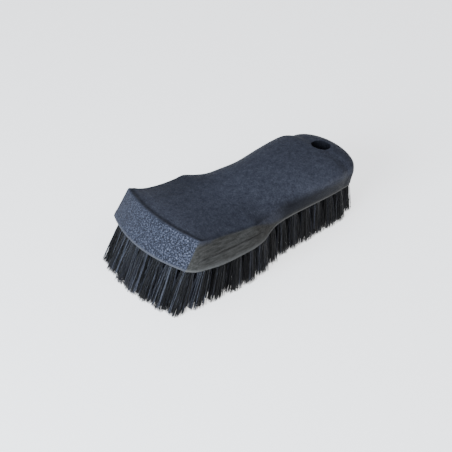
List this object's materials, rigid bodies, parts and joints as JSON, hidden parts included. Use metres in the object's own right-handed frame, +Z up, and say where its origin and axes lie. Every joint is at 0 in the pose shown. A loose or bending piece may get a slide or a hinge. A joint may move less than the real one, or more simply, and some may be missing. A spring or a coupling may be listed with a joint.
{
  "type": "wheel brush",
  "caption": "Hand-held wheel brush: moulded block with a wide bevelled head, waist and rounded tail with a hanging hole, and rows of staple-set bristle tufts beneath.",
  "frame": {"origin": "middle of the overall box in X and Y, on the plane of the cut bristle tips, where the brush stands", "axes": "+X from the bevelled head to the tail with the hanging hole, +Y across the brush, +Z up out of the grip"},
  "size_m": [0.1766, 0.09, 0.0503],
  "materials": {
    "block_plastic": "satin black structural foam with a fine grain",
    "bristle": "black crimped filament, cut tips",
    "anchor_steel": "plain drawn flat wire"
  },
  "bodies": {
    "root": {"handle_block": "block_plastic", "tufts_01": "bristle", "tufts_02": "bristle", "tufts_03": "bristle", "tufts_04": "bristle", "tufts_05": "bristle", "tufts_06": "bristle", "tufts_07": "bristle", "tufts_08": "bristle", "tufts_09": "bristle", "tufts_10": "bristle", "tufts_11": "bristle", "tufts_12": "bristle", "tufts_13": "bristle", "tufts_14": "bristle", "anchors_01": "anchor_steel", "anchors_02": "anchor_steel", "anchors_03": "anchor_steel", "anchors_04": "anchor_steel", "anchors_05": "anchor_steel", "anchors_06": "anchor_steel", "anchors_07": "anchor_steel", "anchors_08": "anchor_steel", "anchors_09": "anchor_steel", "anchors_10": "anchor_steel", "anchors_11": "anchor_steel", "anchors_12": "anchor_steel", "anchors_13": "anchor_steel", "anchors_14": "anchor_steel"}
  },
  "joints": []
}
